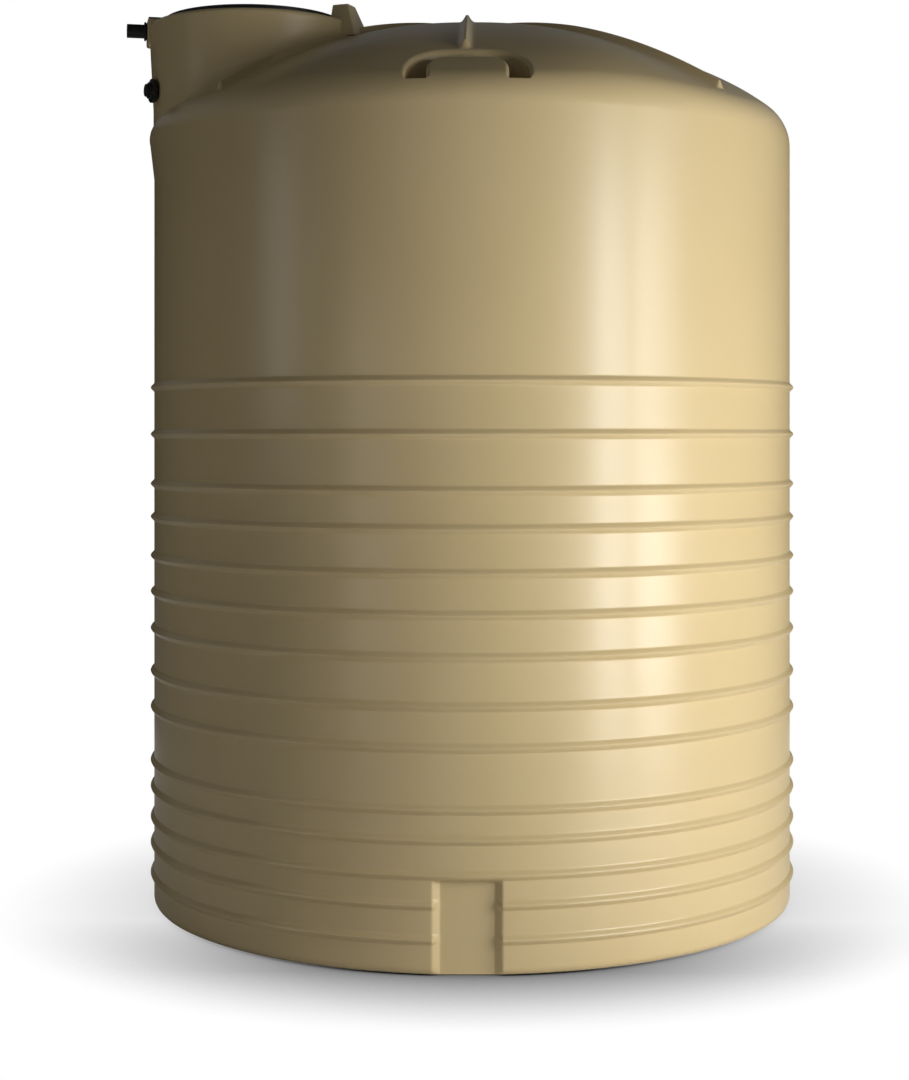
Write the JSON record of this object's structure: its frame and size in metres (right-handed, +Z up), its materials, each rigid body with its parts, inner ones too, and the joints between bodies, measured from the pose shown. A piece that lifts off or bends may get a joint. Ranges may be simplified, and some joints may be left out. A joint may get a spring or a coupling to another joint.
{
  "type": "water tank",
  "caption": "Round moulded plastic rainwater tank with hoop ribs, a finned domed roof, a strainer neck and a lifting groove.",
  "frame": {"origin": "middle of the flat underside, on the tank's axis", "axes": "+Z up along the tank's axis; -Y to the front, where the outlet panel and the lifting groove are; +X to the right seen from the front"},
  "size_m": [1.8815, 1.8243, 2.4975],
  "materials": {
    "beige_polyethylene": "satin rotomoulded polyethylene",
    "black_polypropylene": "satin injection-moulded polypropylene",
    "black_rubber": "matt rubber",
    "stainless_steel": "plain stainless steel"
  },
  "bodies": {
    "root": {"tank_body": "beige_polyethylene", "strainer_frame": "black_polypropylene", "strainer_mesh": "stainless_steel", "mesh_clamp_ring": "black_polypropylene", "strainer_screw_1": "stainless_steel", "strainer_screw_2": "stainless_steel", "strainer_screw_3": "stainless_steel", "strainer_screw_4": "stainless_steel", "strainer_screw_5": "stainless_steel", "strainer_screw_6": "stainless_steel", "overflow_spigot": "black_polypropylene", "overflow_gasket": "black_rubber", "overflow_nut": "black_polypropylene", "fitting_body": "black_polypropylene", "fitting_gasket": "black_rubber", "fitting_nut": "black_polypropylene", "fitting_plug": "black_polypropylene"}
  },
  "joints": []
}
